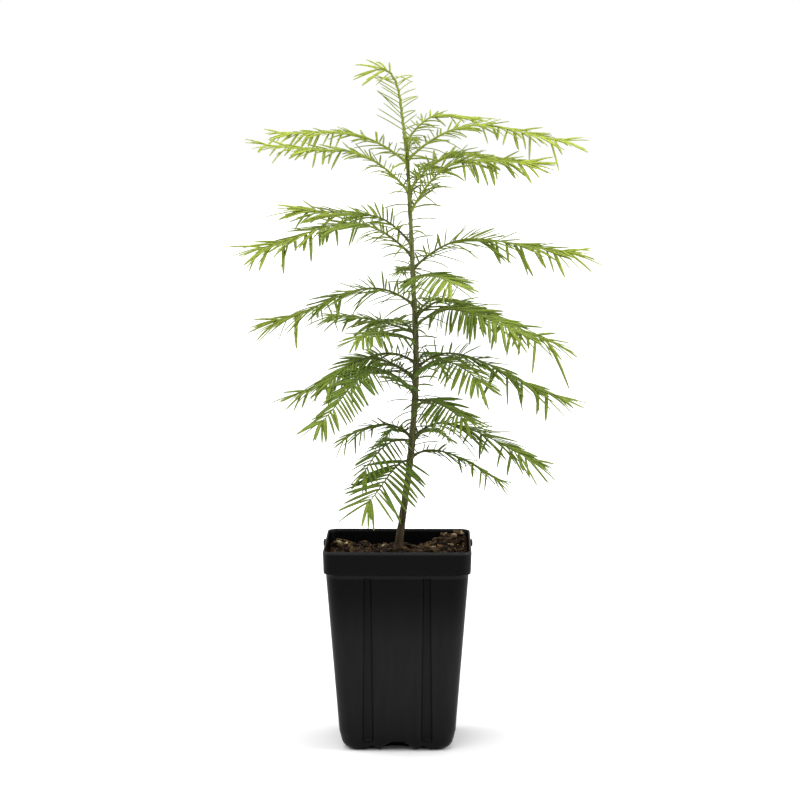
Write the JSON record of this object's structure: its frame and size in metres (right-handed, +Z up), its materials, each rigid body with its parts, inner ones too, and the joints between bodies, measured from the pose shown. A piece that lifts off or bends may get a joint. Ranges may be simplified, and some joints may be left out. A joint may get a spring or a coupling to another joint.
{
  "type": "potted dawn redwood seedling",
  "caption": "Young dawn redwood with a leaning stem, arching side shoots of flat soft needles and a nodding tip, in a tall square black nursery pot of bark mix.",
  "frame": {"origin": "middle of the pot's flat underside", "axes": "+Z up along the plant, -Y towards the picture's viewer, +X to the viewer's right"},
  "size_m": [0.2478, 0.171, 0.4756],
  "materials": {
    "black_plastic": "satin black moulded plastic",
    "bark_mix": "loose dark bark chips and grit",
    "stem_bark": "thin brown bark, olive green towards the top",
    "needles_bright": "soft yellow-green young needles",
    "needles_fresh": "soft fresh green needles",
    "needles_deep": "soft deeper green needles"
  },
  "bodies": {
    "root": {"pot": "black_plastic", "soil": "bark_mix", "stem": "stem_bark", "leader": "needles_bright", "shoot_right_1": "needles_bright", "shoot_right_2": "needles_bright", "shoot_left_1": "needles_bright", "shoot_back_1": "needles_bright", "shoot_right_3": "needles_bright", "shoot_left_2": "needles_bright", "shoot_back_2": "needles_bright", "shoot_right_4": "needles_bright", "shoot_left_3": "needles_fresh", "shoot_left_4": "needles_fresh", "shoot_right_5": "needles_fresh", "shoot_back_3": "needles_fresh", "shoot_right_6": "needles_fresh", "shoot_left_5": "needles_fresh", "shoot_right_7": "needles_fresh", "shoot_back_4": "needles_fresh", "shoot_right_8": "needles_fresh", "shoot_left_6": "needles_fresh", "shoot_back_5": "needles_fresh", "shoot_left_7": "needles_fresh", "shoot_left_8": "needles_deep", "shoot_right_9": "needles_deep", "shoot_back_6": "needles_deep", "shoot_right_10": "needles_deep", "shoot_left_9": "needles_deep", "shoot_back_7": "needles_deep", "shoot_left_10": "needles_deep", "shoot_right_11": "needles_deep", "shoot_back_8": "needles_deep", "shoot_right_12": "needles_deep", "shoot_left_11": "needles_deep", "shoot_left_12": "needles_deep", "shoot_back_9": "needles_deep", "shoot_back_10": "needles_deep", "shoot_right_13": "needles_deep", "shoot_left_13": "needles_deep"}
  },
  "joints": []
}
